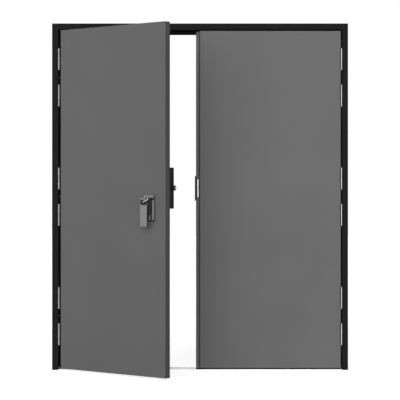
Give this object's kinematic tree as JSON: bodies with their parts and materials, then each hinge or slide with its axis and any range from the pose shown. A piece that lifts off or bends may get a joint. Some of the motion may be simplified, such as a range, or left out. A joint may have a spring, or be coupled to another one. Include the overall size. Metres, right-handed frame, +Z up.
{
  "type": "double-leaf steel utility door with frame",
  "caption": "Double-leaf steel utility door in a pressed frame, one leaf ajar, with drop lever, rim latch, meeting lip with strike, dog bolts and metal threshold.",
  "frame": {"origin": "on the floor under the threshold, in the middle of the doorway's width and of the frame's depth", "axes": "+X to the right seen from outside, +Y into the building, +Z up"},
  "size_m": [1.79, 0.6456, 2.095],
  "materials": {
    "frame_paint": "satin black powder coat",
    "leaf_paint": "matt mid grey powder coat",
    "sill_metal": "mill finish, lightly brushed",
    "hinge_steel": "satin stainless steel",
    "bolt_steel": "bright zinc-plated steel",
    "handle_metal": "satin silver casting",
    "rose_metal": "dark turned steel",
    "cylinder_metal": "polished nickel",
    "latch_steel": "dark hardened steel",
    "lock_black": "satin black coat",
    "strike_steel": "bright ground steel"
  },
  "bodies": {
    "frame": {"left_jamb": "frame_paint", "right_jamb": "frame_paint", "head": "frame_paint", "threshold": "sill_metal", "left_bottom_hinge_frame_flaps": "hinge_steel", "left_middle_hinge_frame_flaps": "hinge_steel", "left_top_hinge_frame_flaps": "hinge_steel", "right_bottom_hinge_frame_flaps": "hinge_steel", "right_middle_hinge_frame_flaps": "hinge_steel", "right_top_hinge_frame_flaps": "hinge_steel"},
    "active_leaf": {"active_outer_skin": "leaf_paint", "active_inner_skin": "leaf_paint", "active_bottom_channel": "leaf_paint", "active_top_channel": "leaf_paint", "left_bottom_hinge_leaf_flaps": "hinge_steel", "left_middle_hinge_leaf_flaps": "hinge_steel", "left_top_hinge_leaf_flaps": "hinge_steel", "active_dog_bolts": "bolt_steel", "handle_backplate": "handle_metal", "latch_case": "lock_black", "push_pad": "lock_black"},
    "lever": {"lever": "handle_metal", "lever_neck": "lock_black", "lever_rose": "rose_metal", "key_cylinder": "cylinder_metal"},
    "latch_bolt": {"latch_bolt": "latch_steel"},
    "passive_leaf": {"passive_outer_skin": "leaf_paint", "passive_inner_skin": "leaf_paint", "passive_bottom_channel": "leaf_paint", "passive_top_channel": "leaf_paint", "right_bottom_hinge_leaf_flaps": "hinge_steel", "right_middle_hinge_leaf_flaps": "hinge_steel", "right_top_hinge_leaf_flaps": "hinge_steel", "passive_dog_bolts": "bolt_steel", "meeting_lip": "leaf_paint", "strike_body": "lock_black", "strike_insert": "strike_steel", "passive_top_bolt_plate": "bolt_steel", "passive_top_bolt": "bolt_steel", "passive_bottom_bolt_plate": "bolt_steel", "passive_bottom_bolt": "bolt_steel"}
  },
  "joints": [
    {"name": "active_leaf_hinge", "type": "hinge", "parent": "frame", "child": "active_leaf", "pos_m": [-0.855, -0.059, 0], "axis": [0, 0, -1], "range_deg": [-40, 70]},
    {"name": "passive_leaf_hinge", "type": "hinge", "parent": "frame", "child": "passive_leaf", "pos_m": [0.855, -0.059, 0], "axis": [0, 0, 1], "range_deg": [0, 110]},
    {"name": "lever_turn", "type": "hinge", "parent": "active_leaf", "child": "lever", "pos_m": [-0.30673, -0.54516, 1.021], "axis": [0.6428, 0.766, 0], "range_deg": [0, 60], "stiffness_Nm_per_rad": 1},
    {"name": "latch_slide", "type": "slide", "parent": "active_leaf", "child": "latch_bolt", "axis": [-0.766, 0.6428, 0], "range_m": [0, 0.022]}
  ],
  "couplings": [
    {"joint": "latch_slide", "follows": "lever_turn", "m_per_rad": 0.0205}
  ]
}
